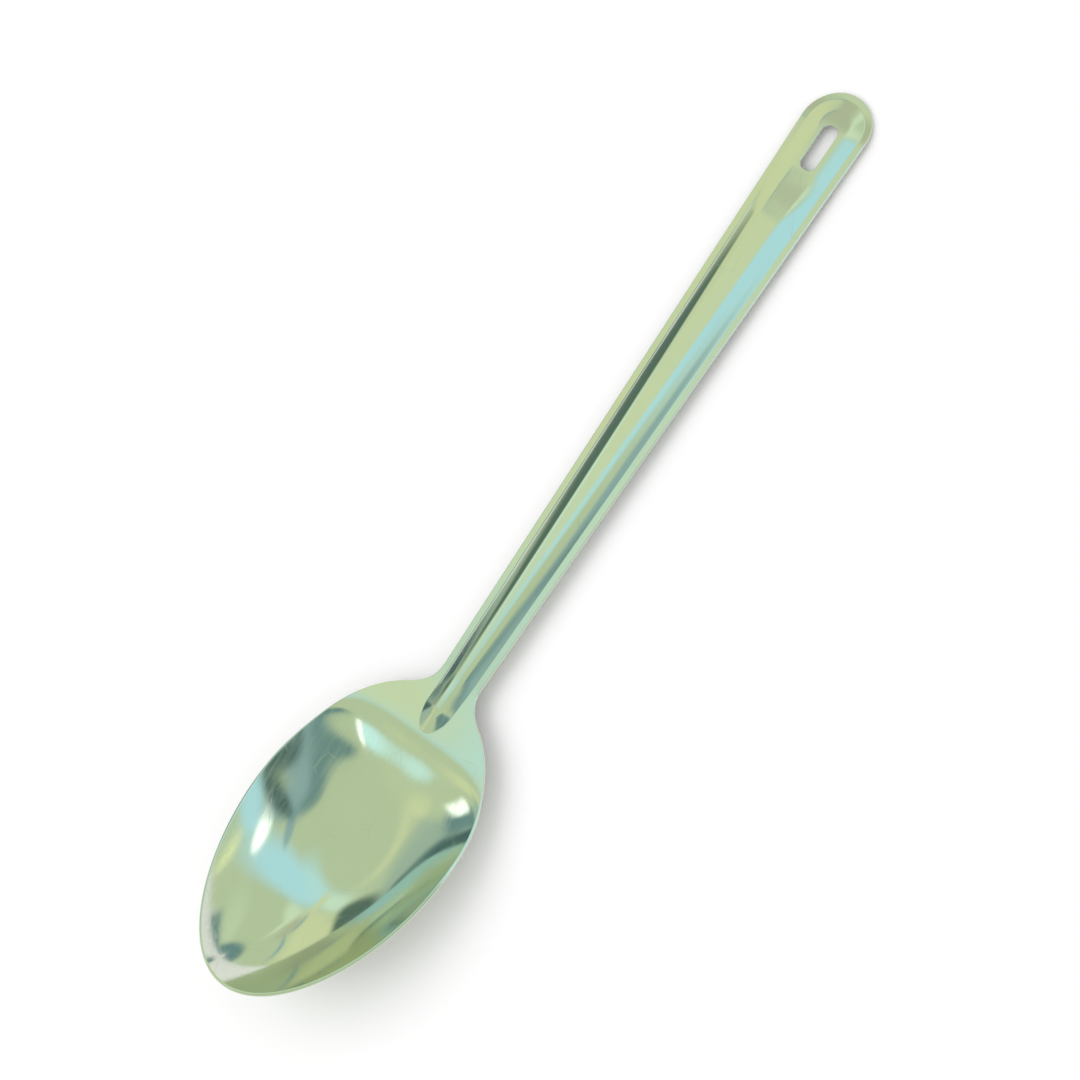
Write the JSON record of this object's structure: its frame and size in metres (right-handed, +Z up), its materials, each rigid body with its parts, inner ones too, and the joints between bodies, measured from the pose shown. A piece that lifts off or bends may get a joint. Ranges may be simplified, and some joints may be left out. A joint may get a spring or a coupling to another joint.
{
  "type": "serving spoon",
  "caption": "Long-handled solid serving spoon pressed from stainless sheet, with an oval bowl, a raised rib along the handle and a slot at its end for hanging.",
  "frame": {"origin": "under the middle of the spoon's length, on the surface it lies on", "axes": "+X along the length from the bowl to the hanging end, +Z up out of the open bowl, +Y to the left seen from the bowl toward the hanging end"},
  "size_m": [0.331, 0.0718, 0.0302],
  "materials": {
    "steel": "polished stainless, fine polishing lines along the length"
  },
  "bodies": {
    "root": {"bowl": "steel", "neck": "steel", "handle": "steel", "hanging_end": "steel"}
  },
  "joints": []
}
